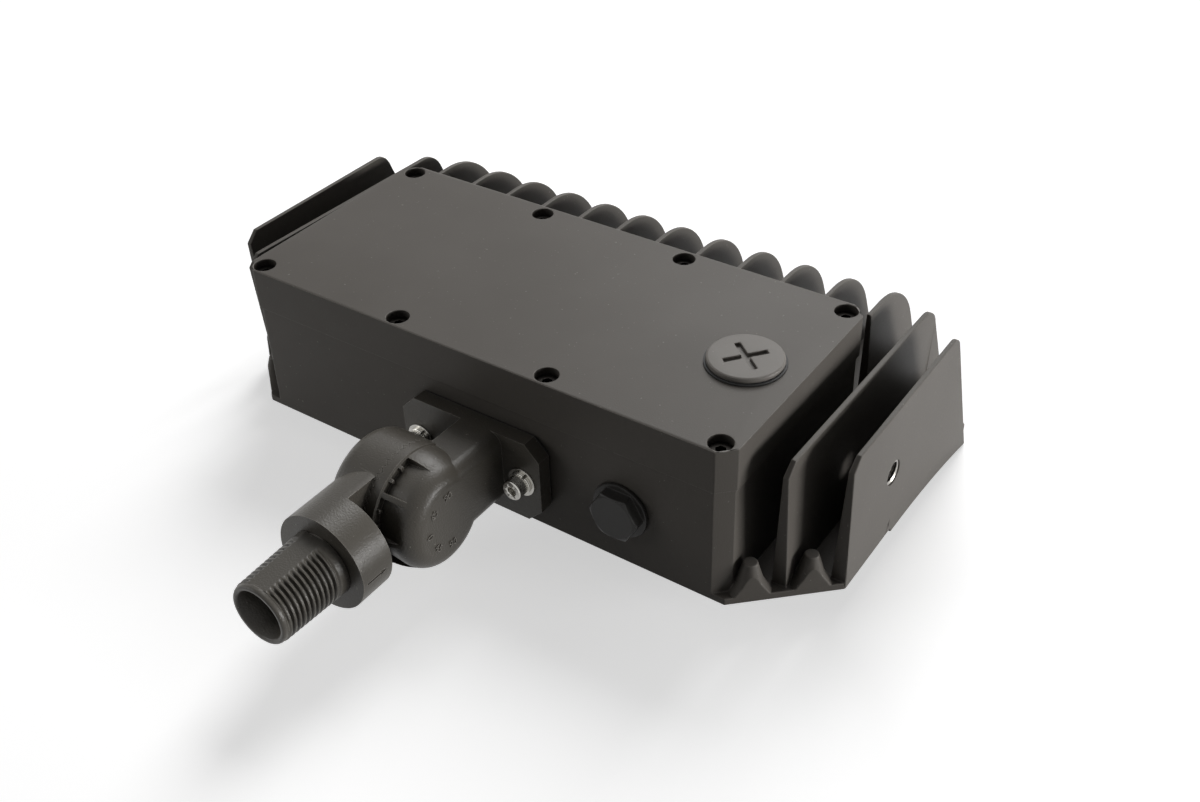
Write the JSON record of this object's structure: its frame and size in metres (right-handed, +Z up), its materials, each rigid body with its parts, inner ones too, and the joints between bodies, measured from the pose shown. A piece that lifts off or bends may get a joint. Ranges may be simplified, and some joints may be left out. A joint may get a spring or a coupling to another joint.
{
  "type": "flood light",
  "caption": "Outdoor flood light: finned die-cast housing with a screwed driver cover on a serrated tilting knuckle with a threaded conduit stem.",
  "frame": {"origin": "centre of the threaded stem's length, on its axis", "axes": "+Y from the stem towards the fins, along the stem's axis; +X along the housing's long side, parallel to the tilt axis; +Z up through the cover"},
  "size_m": [0.2448, 0.2358, 0.0682],
  "materials": {
    "bronze_paint": "dark bronze powder coat, fine texture, low sheen",
    "cast_bronze_paint": "dark bronze powder coat, coarser glittering texture",
    "plug_paint": "bronze powder coat, smooth",
    "stainless": "bright stainless steel",
    "dark_screw": "black oxide",
    "green_screw": "green zinc plate",
    "black_nylon": "moulded black nylon",
    "silicone": "matt silicone rubber",
    "driver_can": "bare extruded aluminium",
    "board": "white solder mask",
    "phosphor": "yellow phosphor dome",
    "clear_optic": "clear moulded polycarbonate",
    "clear_glass": "tempered glass"
  },
  "bodies": {
    "mount": {"knuckle_lower": "cast_bronze_paint", "pivot_bolt": "stainless", "pivot_washer": "stainless", "pivot_lock_washer": "stainless"},
    "head": {"knuckle_upper": "cast_bronze_paint", "knuckle_gasket": "silicone", "knuckle_screws": "stainless", "knuckle_lock_washers": "stainless", "knuckle_flat_washers": "stainless", "housing": "bronze_paint", "housing_fins": "bronze_paint", "housing_end_plates": "bronze_paint", "cover": "bronze_paint", "cover_gasket": "silicone", "cover_screws": "dark_screw", "closure_plug": "plug_paint", "closure_gasket": "silicone", "hex_plug": "black_nylon", "hex_plug_seal": "silicone", "driver": "driver_can", "driver_screws": "stainless", "ground_screw": "green_screw", "led_board": "board", "led_emitters": "phosphor", "board_screws": "stainless", "optic_array": "clear_optic", "lens_gasket": "silicone", "lens_glass": "clear_glass", "lens_frame": "bronze_paint", "lens_frame_screws": "stainless"}
  },
  "joints": [
    {"name": "tilt", "type": "hinge", "parent": "mount", "child": "head", "pos_m": [0.0025, 0.0477, 0], "axis": [1, 0, 0], "range_deg": [-90, 90]}
  ]
}
